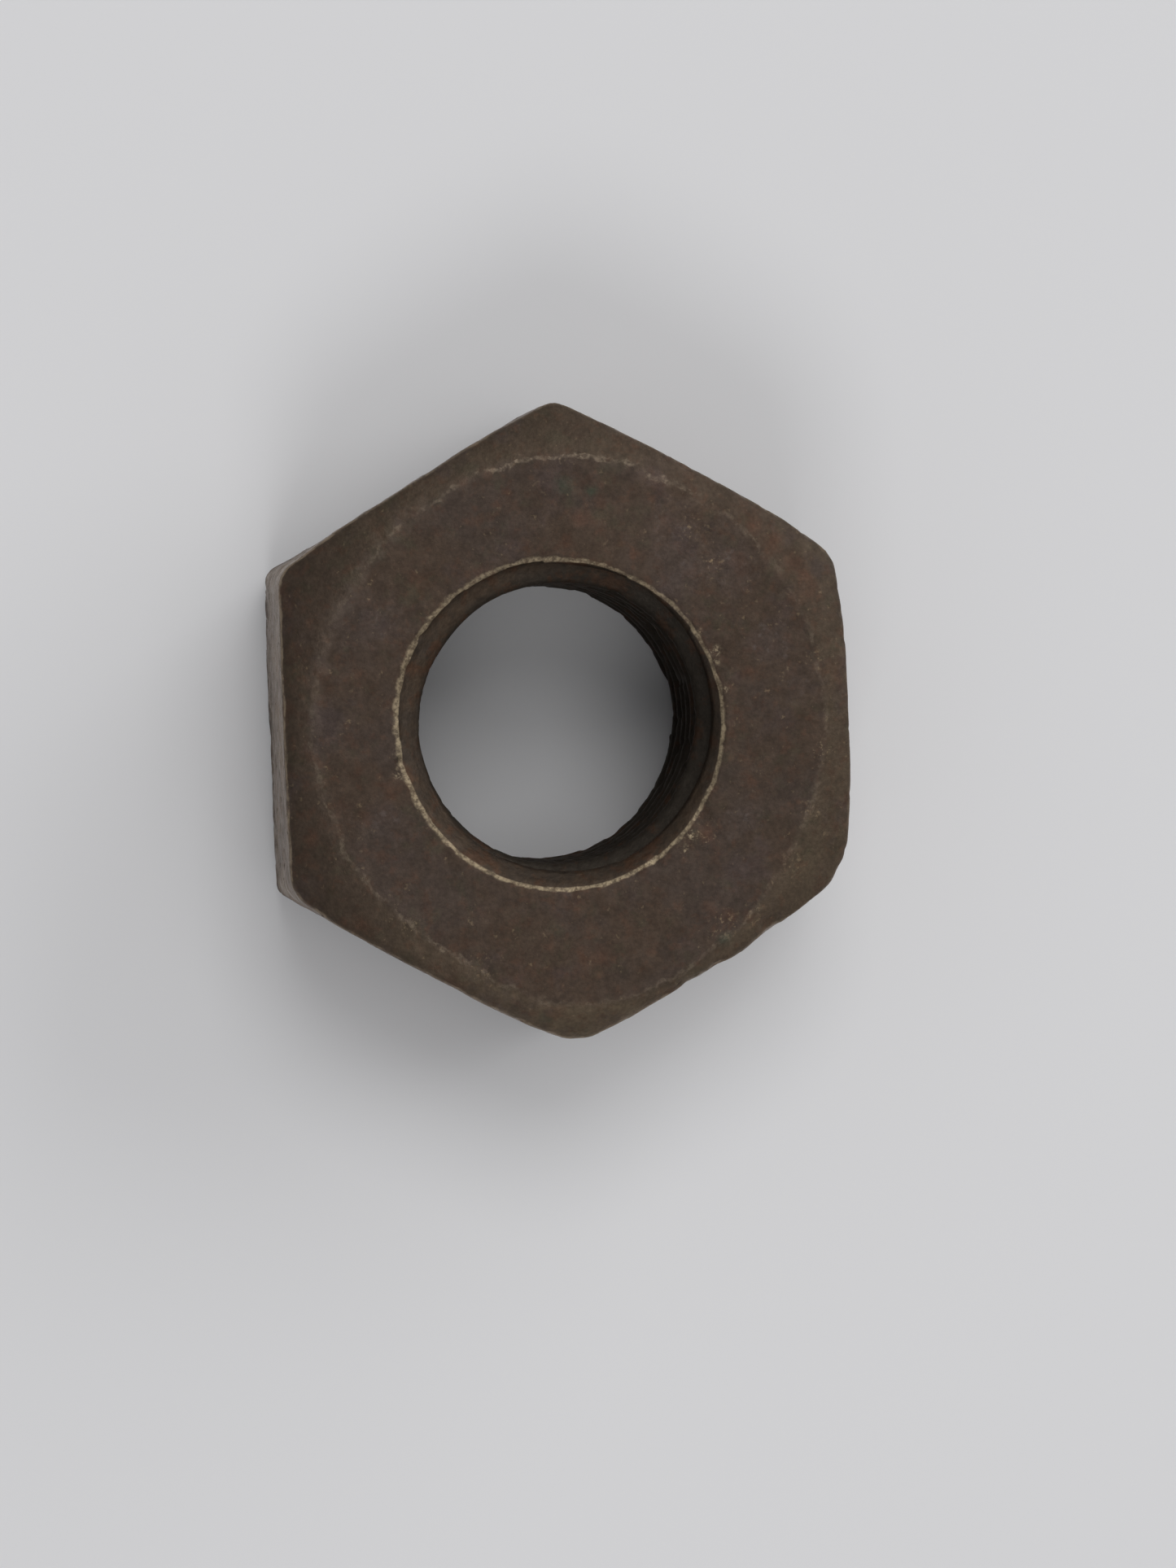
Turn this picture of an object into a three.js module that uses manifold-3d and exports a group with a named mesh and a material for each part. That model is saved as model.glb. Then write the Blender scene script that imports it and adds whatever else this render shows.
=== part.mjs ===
// A plain, full-depth hexagon nut in solid steel with an internal right-hand screw thread.
// Millimetres. +Z runs along the thread's axis and the lower bearing face lies at z = 0,
// so a bolt is placed on the Z axis. The hexagon's flats face +X and -X, its corners +Y and -Y.

import * as THREE from 'three';
import { mergeVertices } from 'three/addons/utils/BufferGeometryUtils.js';
import Module from 'manifold-3d';

// The hexagon
const ACROSS_FLATS = 33.02; // spanner size, 1.300 in
const HEIGHT = 19.05; // a full nut is as deep as its thread's diameter
const CORNER_RADIUS = 2.2; // blunt, forged corners
const HEXAGON_OFFSET = 0.35; // the hole sits this far from the hexagon's centre, along X

// The crowned chamfer that rounds off both ends
const FACE_DIAMETER = 29.2; // flat bearing face inside the chamfer
const CROWN_RADIUS = 11.5; // arc of the chamfer, seen from the side
const CROWN_START = THREE.MathUtils.degToRad(11.5); // slope where the bearing face ends

// The thread, Whitworth form
const THREAD_DIAMETER = 19.05; // across the thread's roots, 3/4 in
const CREST_DIAMETER = 16.1; // across the thread's crests, the clear hole
const PITCH = 2.54; // ten turns to the inch
const FLANK_ANGLE = THREE.MathUtils.degToRad(55 / 2);
const FORM_DEPTH = 0.6403 * PITCH; // full depth of the rounded form

// The countersink at each mouth of the hole
const RIM_DIAMETER = 19.2;
const RIM_DEPTH = 1.45;

// Facets around each round shape
const BODY_FACETS = 96;
const HOLE_FACETS = 72;
const TURN_FACETS = 36;
const CROWN_FACETS = 4;
const CORNER_FACETS = 4;

// How far a cutting solid stands past what it cuts
const OVERRUN = 1;

const wasm = await Module();
wasm.setup();

/** A closed three.js geometry as a solid that can be joined and cut. */
function toSolid(geometry) {
  const bare = geometry.clone();
  bare.deleteAttribute('normal');
  bare.deleteAttribute('uv');
  const merged = mergeVertices(bare, 1e-5);
  return new wasm.Manifold(new wasm.Mesh({
    numProp: 3,
    vertProperties: new Float32Array(merged.attributes.position.array),
    triVerts: new Uint32Array(merged.index.array),
  }));
}

/** A solid back as a three.js geometry. */
function toGeometry(solid) {
  const mesh = solid.getMesh();
  const geometry = new THREE.BufferGeometry();
  geometry.setAttribute('position', new THREE.BufferAttribute(mesh.vertProperties, 3));
  geometry.setIndex(new THREE.BufferAttribute(mesh.triVerts, 1));
  geometry.computeVertexNormals();
  return geometry;
}

/** A solid of revolution about Z, from points given as radius and height. */
function turned(profile, facets) {
  const points = profile.map(([radius, height]) => new THREE.Vector2(radius, height));
  const geometry = new THREE.LatheGeometry(points, facets);
  return geometry.rotateX(Math.PI / 2);
}

/** The hexagonal bar, with its upright edges rounded. */
function hexagonBar() {
  const outline = new THREE.Shape();
  const centreRadius = (ACROSS_FLATS / 2 - CORNER_RADIUS) / Math.cos(Math.PI / 6);
  for (let corner = 0; corner < 6; corner += 1) {
    const angle = Math.PI / 6 + corner * Math.PI / 3;
    const x = centreRadius * Math.cos(angle);
    const y = centreRadius * Math.sin(angle);
    const start = angle - Math.PI / 6;
    const end = angle + Math.PI / 6;
    if (corner === 0) {
      outline.moveTo(x + CORNER_RADIUS * Math.cos(start), y + CORNER_RADIUS * Math.sin(start));
    }
    outline.absarc(x, y, CORNER_RADIUS, start, end, false);
  }
  const bar = new THREE.ExtrudeGeometry(outline, {
    depth: HEIGHT,
    bevelEnabled: false,
    curveSegments: CORNER_FACETS,
  });
  return bar.translate(HEXAGON_OFFSET, 0, 0);
}

/** The turned envelope that gives both ends of the bar their crowned chamfer. */
function chamferEnvelope() {
  const faceRadius = FACE_DIAMETER / 2;
  const outerRadius = ACROSS_FLATS / 2 / Math.cos(Math.PI / 6);
  const endSlope = Math.asin(Math.sin(CROWN_START) + (outerRadius - faceRadius) / CROWN_RADIUS);
  const lower = [];
  for (let step = 0; step <= CROWN_FACETS; step += 1) {
    const slope = CROWN_START + (endSlope - CROWN_START) * step / CROWN_FACETS;
    const radius = faceRadius + CROWN_RADIUS * (Math.sin(slope) - Math.sin(CROWN_START));
    const rise = CROWN_RADIUS * (Math.cos(CROWN_START) - Math.cos(slope));
    lower.push([radius, rise]);
  }
  const upper = lower.map(([radius, rise]) => [radius, HEIGHT - rise]).reverse();
  const profile = [[0, 0], ...lower, ...upper, [0, HEIGHT]];
  return turned(profile, BODY_FACETS).translate(HEXAGON_OFFSET, 0, 0);
}

/** The plain hole through the nut with a countersink at each end. */
function holeCutter() {
  const crestRadius = CREST_DIAMETER / 2;
  const rimRadius = RIM_DIAMETER / 2;
  const flare = (rimRadius - crestRadius) / RIM_DEPTH * OVERRUN;
  return turned([
    [0, -OVERRUN],
    [rimRadius + flare, -OVERRUN],
    [crestRadius, RIM_DEPTH],
    [crestRadius, HEIGHT - RIM_DEPTH],
    [rimRadius + flare, HEIGHT + OVERRUN],
    [0, HEIGHT + OVERRUN],
  ], HOLE_FACETS);
}

/** A right-hand helix about Z whose section frame stays radial and axial. */
class ThreadHelix extends THREE.Curve {
  constructor(radius, bottom, turns) {
    super();
    this.radius = radius;
    this.bottom = bottom;
    this.turns = turns;
  }

  getPoint(t, target = new THREE.Vector3()) {
    const angle = t * this.turns * 2 * Math.PI;
    const x = this.radius * Math.cos(angle);
    const y = this.radius * Math.sin(angle);
    return target.set(x, y, this.bottom + t * this.turns * PITCH);
  }

  computeFrenetFrames(segments) {
    const tangents = [];
    const normals = [];
    const binormals = [];
    for (let step = 0; step <= segments; step += 1) {
      const angle = step / segments * this.turns * 2 * Math.PI;
      tangents.push(new THREE.Vector3(-Math.sin(angle), Math.cos(angle), 0));
      normals.push(new THREE.Vector3(Math.cos(angle), Math.sin(angle), 0));
      binormals.push(new THREE.Vector3(0, 0, -1));
    }
    return { tangents, normals, binormals };
  }
}

/** The helical groove between the thread's crests. */
function threadCutter() {
  const pitchRadius = (THREAD_DIAMETER - FORM_DEPTH) / 2;
  const widthAt = (radius) => PITCH / 2 - 2 * (radius - pitchRadius) * Math.tan(FLANK_ANGLE);
  const inner = CREST_DIAMETER / 2 - OVERRUN / 4;
  const outer = THREAD_DIAMETER / 2;
  const section = new THREE.Shape();
  section.moveTo(inner - pitchRadius, -widthAt(inner) / 2);
  section.lineTo(outer - pitchRadius, -widthAt(outer) / 2);
  section.lineTo(outer - pitchRadius, widthAt(outer) / 2);
  section.lineTo(inner - pitchRadius, widthAt(inner) / 2);
  section.closePath();

  const turns = Math.ceil(HEIGHT / PITCH) + 2;
  const helix = new ThreadHelix(pitchRadius, -PITCH, turns);
  return new THREE.ExtrudeGeometry(section, {
    steps: turns * TURN_FACETS,
    extrudePath: helix,
    bevelEnabled: false,
  });
}

/** Forged steel under a dark brown oxide. */
function oxidisedSteel() {
  return new THREE.MeshStandardMaterial({
    color: 0x4d4139,
    metalness: 0.6,
    roughness: 0.6,
    flatShading: true,
  });
}

function nutBody() {
  const blank = toSolid(hexagonBar()).intersect(toSolid(chamferEnvelope()));
  const drilled = blank.subtract(toSolid(holeCutter()));
  const tapped = drilled.subtract(toSolid(threadCutter()));
  const mesh = new THREE.Mesh(toGeometry(tapped), oxidisedSteel());
  mesh.name = 'nut_body';
  return mesh;
}

const hexNut = new THREE.Group();
hexNut.add(nutBody());

export default hexNut;
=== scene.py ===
"""A worn, brown-oxidised hexagon nut on a pale floor, seen almost straight down its hole.

The nut is one closed mesh. It is laid out as rings of points around the thread's axis: over the
upper face, down the flats, in under the lower face, and back up the hole along the thread's helix.
Lengths in the modelling code are millimetres, and the mesh is scaled to metres when it is made.
Places round the nut are degrees from +X towards +Y. A list of twelve values has one every 30
degrees, starting at +X, which is the middle of a flat.
"""
import math

import bpy
import numpy as np
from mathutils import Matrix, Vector, noise


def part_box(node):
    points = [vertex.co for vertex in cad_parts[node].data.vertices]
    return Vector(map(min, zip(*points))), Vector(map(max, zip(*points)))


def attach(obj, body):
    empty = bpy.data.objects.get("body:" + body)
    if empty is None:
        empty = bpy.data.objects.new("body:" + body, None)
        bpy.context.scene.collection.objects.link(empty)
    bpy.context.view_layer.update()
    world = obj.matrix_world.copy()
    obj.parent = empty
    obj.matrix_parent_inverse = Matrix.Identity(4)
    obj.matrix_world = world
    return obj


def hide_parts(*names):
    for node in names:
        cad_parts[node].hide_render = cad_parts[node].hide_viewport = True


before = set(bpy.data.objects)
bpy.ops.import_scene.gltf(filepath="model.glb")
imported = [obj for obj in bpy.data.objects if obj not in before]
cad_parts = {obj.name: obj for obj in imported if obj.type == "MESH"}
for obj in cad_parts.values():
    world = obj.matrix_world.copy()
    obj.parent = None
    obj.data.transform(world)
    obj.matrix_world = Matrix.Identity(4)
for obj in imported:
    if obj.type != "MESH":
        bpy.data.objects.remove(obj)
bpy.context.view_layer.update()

MM = 0.001

# ---------------------------------------------------------------- the nut's sizes, in millimetres

CAD_LOW, CAD_HIGH = (np.array(corner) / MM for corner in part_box("nut_body"))
HEIGHT = CAD_HIGH[2] - CAD_LOW[2]
HALF_FLATS = (CAD_HIGH[0] - CAD_LOW[0]) / 2
HEX_CENTRE = (CAD_LOW[0] + CAD_HIGH[0]) / 2

# The thread, a Whitworth form
PITCH = 2.54
CREST_RADIUS = 8.04
ROOT_RADIUS = 9.5
FORM_DEPTH = 0.6403 * PITCH
FLANK_SLOPE = math.tan(math.radians(55 / 2))
# How far its section is rounded by wear, along the axis
THREAD_WEAR = 0.36
# How much wider or tighter than the thread's crests the hole has worn
BORE_WEAR = [-0.06, 0.12, 0.18, 0.12, 0.15, 0.06, 0.09, 0.02, 0.10, 0.05, -0.05, -0.20]
# How deep the crests are chipped, and the radius of the tube on which that noise is read
CHIP_DEPTH = 0.3
CHIP_TUBE = 9
# The tear in the lowest crest, just past +X: how deep it is, the degrees between which it sets in
# and fades out again, and the heights between which it fades out
TEAR_DEPTH = 0.45
TEAR_START = (-8, -6)
TEAR_END = (24, 8)
TEAR_TOP = (3.2, 2.2)

# Radius of the hole's rim at each end
UPPER_RIM = [9.36, 9.36, 9.39, 9.46, 9.54, 9.56, 9.42, 9.43, 9.52, 9.55, 9.49, 9.38]
LOWER_RIM = [9.43, 9.50, 9.38, 9.45, 9.52, 9.40, 9.44, 9.36, 9.48, 9.42, 9.50, 9.39]
# How far the face sinks at the rim, and how wide that rounding is
RIM_ROUND = 0.12
RIM_ROUND_WIDTH = 0.16
# The countersink: how much its radius shrinks for each millimetre down, its depth, and how
# softly it runs into the thread
RIM_SLOPE = 0.95
MOUTH_DEPTH = 1.45
MOUTH_BLEND = 0.12

# Where the crowned chamfer starts, and how its arc falls away from the face
CROWN_START_RADIUS = 14.6
CROWN_ARC = 11.5
CROWN_START_SINE = math.sin(math.radians(11.5))
# The share of its fall that is straight; the rest grows steeper outwards
CROWN_STRAIGHT = 0.4
# Radius of each face's worn edge, where the chamfer starts
UPPER_EDGE = [15.05, 15.1, 15.2, 15.55, 15.1, 14.8, 14.9, 14.8, 14.9, 16.35, 15.65, 14.95]
LOWER_EDGE = [14.8, 15.6, 15.0, 15.9, 14.7, 15.4, 14.5, 15.7, 14.9, 15.5, 14.6, 15.8]
# How far the outer edges are rounded over
UPPER_ROUNDS = [0.34, 0.34, 0.34, 0.34, 0.38, 0.50, 0.58, 0.52, 0.42, 0.34, 0.34, 0.34]
LOWER_ROUND = 0.60
# How ragged the upper outer edge is
EDGE_NIBBLES = [1.0, 1.0, 0.8, 0.6, 0.5, 0.2, 0.1, 0.3, 0.7, 0.9, 1.1, 1.0]

# How each upright corner is blunted, from the one at 30 degrees round to the one at 330: the
# radius of its arc, and how fast the flats beside it sweep inwards towards it
UPPER_CORNERS = [1.4, 1.2, 1.7, 1.8, 2.0, 3.0]
UPPER_SWEEPS = [0.010, 0.003, 0.003, 0.004, 0.007, 0.010]
LOWER_CORNERS = [2.2, 1.8, 0.8, 1.0, 2.4, 2.6]
LOWER_SWEEPS = [0.005, 0.003, 0.0, 0.0, 0.004, 0.006]
# How far each flat stands out of true at its upper and lower end, from the +X flat round
UPPER_OFFSETS = [0.02, 0.05, 0.12, 0.0, 0.15, 0.06]
LOWER_OFFSETS = [0.0, 0.0, -0.12, 0.0, 0.0, 0.0]
# Between which angles from a corner, in radians, that offset sets in
OFFSET_FADE = (0.02, 0.2)
# Half the straight middle of a flat, and the metal that weathering takes off it again
STRAIGHT_HALF = 2.5
FLAT_ALLOWANCE = 0.06
# The bruised lip that stands out from the flat facing 300 degrees, and the nick beside it: angle,
# half-width in degrees, height or depth
LIP = (304.5, 3.8, 0.12)
NICK = (293, 1.6, 0.08)

# How far each outline and each edge's rounding wanders
RIM_WANDER = 0.05
FACE_EDGE_WANDER = 0.14
UPPER_ROUND_WANDER = 0.16
LOWER_ROUND_WANDER = 0.40
UPPER_WANDER = 0.04
LOWER_WANDER = 0.08
# The radius of the circle round which the noise of each is read
RIM_CIRCLE = 9.4
FACE_EDGE_CIRCLE = 15
ROUND_CIRCLE = 16
OUTLINE_CIRCLE = 17

# ---------------------------------------------------------------- where the nut is worn, and its painted light and shade

# How bare the metal is along the hole's rim and the face's edge, how bare the outer edge is together
# with its painted highlight, how wide the rim's line is, and how hazy the face's edge is
RIM_SHINE = [0.8, 0.75, 0.6, 0.7, 0.7, 0.8, 0.85, 0.8, 0.85, 0.95, 1.0, 0.8]
RIM_LINE_WIDTH = [1.0, 0.9, 1.0, 1.4, 1.9, 2.3, 2.2, 1.5, 1.1, 1.1, 1.1, 1.0]
FACE_EDGE_SHINE = [0.35, 0.3, 0.6, 1.0, 0.6, 0.2, 0.35, 0.45, 0.6, 0.35, 0.5, 0.4]
FACE_EDGE_HAZE = [0.0, 0.0, 0.2, 0.3, 0.7, 1.0, 0.6, 0.2, 0.0, 0.1, 0.3, 0.2]
EDGE_WEAR_AND_HIGHLIGHT = [0.3, 0.3, 0.4, 0.5, 0.6, 0.8, 0.85, 0.8, 0.6, 0.8, 0.6, 0.4]
# How far the wear on the upright corners reaches to either side
CORNER_WEAR_WIDTH = 0.7
# The chamfer's colour, from 0 for reddish dark brown to 1 for olive brown: partly the oxide's own
# tone and partly painted light and shade
CROWN_TONES_AND_PAINTED_LIGHT = [0.55, 0.26, 0.23, 0.40, 0.45, 0.16, 0.2, 0.16, 0.58, 1.0, 0.75, 0.7]
# Painted light and shade, where 1 is the plain tone: a painted sheen on the faces and chamfers,
# a painted reflection on the flats, and painted light and shade in the hole
FACE_PAINTED_SHEEN = [1.0, 1.01, 1.15, 1.02, 1.0, 1.0, 0.98, 1.0, 1.02, 1.05, 1.02, 1.0]
FLAT_PAINTED_REFLECTION = [1.0, 0.98, 0.96, 1.0, 1.04, 1.14, 1.24, 1.14, 1.02, 0.98, 1.0, 1.02]
HOLE_PAINTED_LIGHT_AND_SHADE = [0.57, 0.68, 0.74, 0.92, 1.06, 1.12, 1.0, 0.96, 1.0, 1.06, 1.0, 0.92]

# ---------------------------------------------------------------- how finely the mesh is laid out

COLUMNS = 450
ROWS_PER_TURN = 12
FACE_ROWS = 20
# The power by which the face's rows crowd towards the rim
RIM_CROWDING = 1.4
CROWN_ROWS = 13
EDGE_ROWS = 5
SIDE_ROWS = 47
# Steps in the thread's profile, over one pitch, and how many to either side are averaged
PROFILE_STEPS = 400
PROFILE_REACH = 60
ANGLES = np.arange(COLUMNS) / COLUMNS * 2 * math.pi

# Marks kept on every point, for its wear and its material: the distance along the nut's section
# from the hole's rim, from the face's edge and from the outer edge, and how deep in the hole it
# is, from 0 on the outside to 1 below the mouth. FAR stands for a distance that no longer matters.
MARKS = ("from_rim", "from_face_edge", "from_edge", "in_hole")
FAR = 6.0
# How fast the distance from the rim grows for each millimetre down the hole
RIM_FALL = 1.7

# The shape's noise: how fast its finer octaves fade, how much finer each is than the last, and how
# far its place shifts with each seed, from a first shift that seed 0 has too
OCTAVE_FADE = 0.8
OCTAVE_STEP = 2.1
SEED_SHIFT = np.array([17.3, 9.7, 4.9])
FIRST_SHIFT = np.array([5.1, -3.3, 1.7])


# ================================================================ helpers for the shape

def around(values, angles):
    """A smooth closed curve through values spaced evenly round the circle, read at angles."""
    values = np.asarray(values, float)
    count = len(values)
    place = (np.asarray(angles) / (2 * math.pi) * count) % count
    index = np.floor(place).astype(int)
    t = place - index
    before, here, after, beyond = (values[(index + step) % count] for step in (-1, 0, 1, 2))
    square = 2 * before - 5 * here + 4 * after - beyond
    cube = 3 * (here - after) + beyond - before
    return here + 0.5 * t * (after - before + t * (square + t * cube))


def smoothstep(low, high, value):
    """0 up to low, 1 from high, and a smooth change between. low may be the higher of the two."""
    t = np.clip((value - low) / (high - low), 0, 1)
    return t * t * (3 - 2 * t)


def soft_max(a, b, width):
    """The larger of two values, blended where they are within width of each other."""
    blend = np.clip(0.5 + 0.5 * (a - b) / width, 0, 1)
    return b + (a - b) * blend + width * blend * (1 - blend)


def mottle(points, size, octaves, seed):
    """Fractal noise of about -1 to 1 at each point, with lumps of about the given size."""
    shift = SEED_SHIFT * seed + FIRST_SHIFT
    places = (np.asarray(points) / size + shift).tolist()
    return np.array([noise.fractal(place, OCTAVE_FADE, OCTAVE_STEP, octaves) for place in places])


def ring_mottle(radius, size, octaves, seed):
    """The same noise read once per column round a circle, for outlines that wander a little."""
    circle = np.stack([radius * np.cos(ANGLES), radius * np.sin(ANGLES), 0 * ANGLES], 1)
    return mottle(circle, size, octaves, seed)


def spot(angle, radius, height):
    """The point at an angle in degrees, a radius from the hexagon's centre, and a height."""
    turn = math.radians(angle)
    return (HEX_CENTRE + radius * math.cos(turn), radius * math.sin(turn), height)


def turn_from(angle):
    """Each column's angle from the given one in degrees, between -180 and 180."""
    return (np.degrees(ANGLES) - angle + 180) % 360 - 180


# ================================================================ the nut's section at each angle

def hexagon_radius(corners, sweeps, offsets, wander, seed):
    """Distance from the hexagon's centre to its outline, with each corner blunted in its own way."""
    corner = np.floor(ANGLES / (math.pi / 3)).astype(int) % 6
    nearest_flat = np.round(ANGLES / (math.pi / 3)).astype(int) % 6
    off_corner = np.abs((ANGLES % (math.pi / 3)) - math.pi / 6)
    off_flat = math.pi / 6 - off_corner
    offset = np.array(offsets)[nearest_flat] * smoothstep(*OFFSET_FADE, off_corner)
    along_flat = HALF_FLATS * np.tan(off_flat)
    sweep = np.array(sweeps)[corner] * np.maximum(along_flat - STRAIGHT_HALF, 0) ** 2
    half_flats = HALF_FLATS + FLAT_ALLOWANCE + offset - sweep
    rounding = np.array(corners)[corner]
    arc_centre = (half_flats - rounding) / math.cos(math.pi / 6)
    arc_end = np.arctan2(rounding / 2, arc_centre + rounding * math.cos(math.pi / 6))
    under_root = np.maximum(rounding ** 2 - (arc_centre * np.sin(off_corner)) ** 2, 0)
    on_arc = arc_centre * np.cos(off_corner) + np.sqrt(under_root)
    on_flat = half_flats / np.cos(off_flat)
    true = np.where(off_corner < arc_end, on_arc, on_flat)
    return true + wander * ring_mottle(OUTLINE_CIRCLE, 3.0, octaves=3, seed=seed)


def upper_burr():
    """How far the bruised lip stands out of the upper outline, less the nick beside it."""
    lip_angle, lip_width, lip_height = LIP
    nick_angle, nick_width, nick_depth = NICK
    lip = lip_height * np.exp(-(turn_from(lip_angle) / lip_width) ** 4)
    nick = nick_depth * np.exp(-(turn_from(nick_angle) / nick_width) ** 2)
    return lip - nick


UPPER_OUTLINE = hexagon_radius(UPPER_CORNERS, UPPER_SWEEPS, UPPER_OFFSETS, UPPER_WANDER, 2)
UPPER_OUTLINE += upper_burr()
LOWER_OUTLINE = hexagon_radius(LOWER_CORNERS, LOWER_SWEEPS, LOWER_OFFSETS, LOWER_WANDER, 9)


def crown_drop(radius):
    """How far the crowned chamfer has fallen below the face at a radius from the hexagon's centre."""
    sine = np.clip(CROWN_START_SINE + (radius - CROWN_START_RADIUS) / CROWN_ARC, -1, 1)
    return CROWN_ARC * (math.cos(math.asin(CROWN_START_SINE)) - np.sqrt(1 - sine ** 2))


def end_rings(rim_radii, outline, face_edge, edge_round, seed):
    """Rings from the hole's rim, over the face and its crown, to the start of the flats.

    Each is (radius, drop below the face, share of the way from the thread's axis to the hexagon's,
    and the three distance marks).
    """
    rim = around(rim_radii, ANGLES) + RIM_WANDER * ring_mottle(RIM_CIRCLE, 1.2, octaves=3, seed=seed)
    end_drop = crown_drop(outline)
    inner_end = outline - edge_round
    rings = []
    for step in range(FACE_ROWS):
        share = (step / FACE_ROWS) ** RIM_CROWDING
        radius = rim + (face_edge - rim) * share
        drop = RIM_ROUND * np.exp(-((radius - rim) / RIM_ROUND_WIDTH) ** 2)
        rings.append((radius, drop, share, radius - rim, radius - face_edge, radius - outline))
    for step in range(CROWN_ROWS):
        radius = face_edge + (inner_end - face_edge) * step / (CROWN_ROWS - 1)
        share = (radius - face_edge) / (outline - face_edge)
        drop = end_drop * (CROWN_STRAIGHT * share + (1 - CROWN_STRAIGHT) * share ** 2)
        rings.append((radius, drop, 1.0, radius - rim, radius - face_edge, radius - outline))
    crown_end = rings[-1][1]
    side_start = end_drop + edge_round
    for step in range(1, EDGE_ROWS + 1):
        t = step / EDGE_ROWS
        radius = (1 - t) ** 2 * inner_end + (1 - (1 - t) ** 2) * outline
        drop = (1 - t) ** 2 * crown_end + 2 * t * (1 - t) * end_drop + t * t * side_start
        rings.append((radius, drop, 1.0, radius - rim, radius - face_edge, (2 * t - 1) * edge_round))
    return rings, side_start


def thread_profile():
    """The groove's depth at even steps over one pitch, 0 at the crests, worn smooth."""
    across = np.abs((np.arange(PROFILE_STEPS) / PROFILE_STEPS - 0.5) * PITCH)
    pitch_radius = ROOT_RADIUS - FORM_DEPTH / 2
    radius = pitch_radius + (PITCH / 4 - across) / FLANK_SLOPE
    depth = np.clip(radius, CREST_RADIUS, ROOT_RADIUS) - CREST_RADIUS
    spread = THREAD_WEAR / PITCH * PROFILE_STEPS
    offsets = np.arange(-PROFILE_REACH, PROFILE_REACH + 1)
    weights = np.exp(-0.5 * (offsets / spread) ** 2)
    weights /= weights.sum()
    return sum(weight * np.roll(depth, offset) for weight, offset in zip(weights, offsets))


def hole_radius(angles, heights):
    """The hole's wall: the thread, its crests chipped here and there, opened out at both mouths."""
    profile = thread_profile()
    phase = (heights / PITCH - angles / (2 * math.pi) + 0.5) % 1
    steps = np.arange(PROFILE_STEPS + 1)
    depth = np.interp(phase * PROFILE_STEPS, steps, np.append(profile, profile[0]))
    places = np.stack([CHIP_TUBE * np.cos(angles), CHIP_TUBE * np.sin(angles), heights], 1)
    chipped = CHIP_DEPTH * smoothstep(0.2, 1.0, mottle(places, 2.4, octaves=2, seed=11))
    turn = np.degrees((angles + math.pi) % (2 * math.pi) - math.pi)
    torn = TEAR_DEPTH * smoothstep(*TEAR_START, turn) * smoothstep(*TEAR_END, turn)
    torn *= smoothstep(*TEAR_TOP, heights)
    crest = CREST_RADIUS + around(BORE_WEAR, angles)
    thread = crest + np.maximum(depth, np.maximum(chipped, torn))
    upper_mouth = around(UPPER_RIM, angles) - RIM_SLOPE * (HEIGHT - heights)
    lower_mouth = around(LOWER_RIM, angles) - RIM_SLOPE * heights
    return soft_max(soft_max(thread, upper_mouth, MOUTH_BLEND), lower_mouth, MOUTH_BLEND)


# ================================================================ the mesh

class NutMesh:
    """Collects blocks of points with their marks, and the faces between them."""

    def __init__(self):
        self.points = np.zeros((0, 3))
        self.marks = {name: np.zeros(0) for name in MARKS}
        self.faces = []

    def add_points(self, x, y, z, *marks):
        """Adds one point per entry of x, and returns their numbers."""
        block = np.stack([np.broadcast_to(values, x.shape) for values in (x, y, z)], 1)
        numbers = np.arange(len(x)) + len(self.points)
        self.points = np.concatenate([self.points, block])
        for name, values in zip(MARKS, marks):
            self.marks[name] = np.append(self.marks[name], np.broadcast_to(values, x.shape))
        return numbers

    def add_ring(self, radius, height, share, *marks):
        """Adds a ring of the outside, its centre a share of the way from the thread's axis."""
        x = HEX_CENTRE * share + radius * np.cos(ANGLES)
        return self.add_points(x, radius * np.sin(ANGLES), height, *marks, 0.0)

    def join_rings(self, first, second):
        """Quads between two whole rings."""
        corners = [first, np.roll(first, -1), np.roll(second, -1), second]
        self.faces += np.stack(corners, 1).tolist()


def add_outside(mesh):
    """Upper face, crown, flats, lower crown and lower face. Returns the two rims of the hole."""
    upper_edge = around(UPPER_EDGE, ANGLES)
    upper_edge += FACE_EDGE_WANDER * ring_mottle(FACE_EDGE_CIRCLE, 1.6, octaves=3, seed=5)
    lower_edge = around(LOWER_EDGE, ANGLES)
    lower_edge += FACE_EDGE_WANDER * ring_mottle(FACE_EDGE_CIRCLE, 1.6, octaves=3, seed=6)
    upper_round = around(UPPER_ROUNDS, ANGLES)
    upper_round += UPPER_ROUND_WANDER * ring_mottle(ROUND_CIRCLE, 2.4, octaves=3, seed=7)
    lower_round = LOWER_ROUND + LOWER_ROUND_WANDER * ring_mottle(ROUND_CIRCLE, 2.0, octaves=3, seed=8)
    upper, upper_start = end_rings(UPPER_RIM, UPPER_OUTLINE, upper_edge, upper_round, 3)
    lower, lower_start = end_rings(LOWER_RIM, LOWER_OUTLINE, lower_edge, lower_round, 4)

    rings = [mesh.add_ring(radius, HEIGHT - drop, *rest) for radius, drop, *rest in upper]
    for step in range(1, SIDE_ROWS):
        t = step / SIDE_ROWS
        height = (HEIGHT - upper_start) * (1 - t) + lower_start * t
        from_top = HEIGHT - upper_start - height + upper_round
        from_bottom = height - lower_start + lower_round
        radius = UPPER_OUTLINE * (1 - t) + LOWER_OUTLINE * t
        from_edge = np.minimum(from_top, from_bottom)
        rings.append(mesh.add_ring(radius, height, 1.0, FAR, FAR, from_edge))
    rings += [mesh.add_ring(radius, *rest) for radius, *rest in reversed(lower)]
    for first, second in zip(rings, rings[1:]):
        mesh.join_rings(second, first)
    return rings[0], rings[-1]


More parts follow.
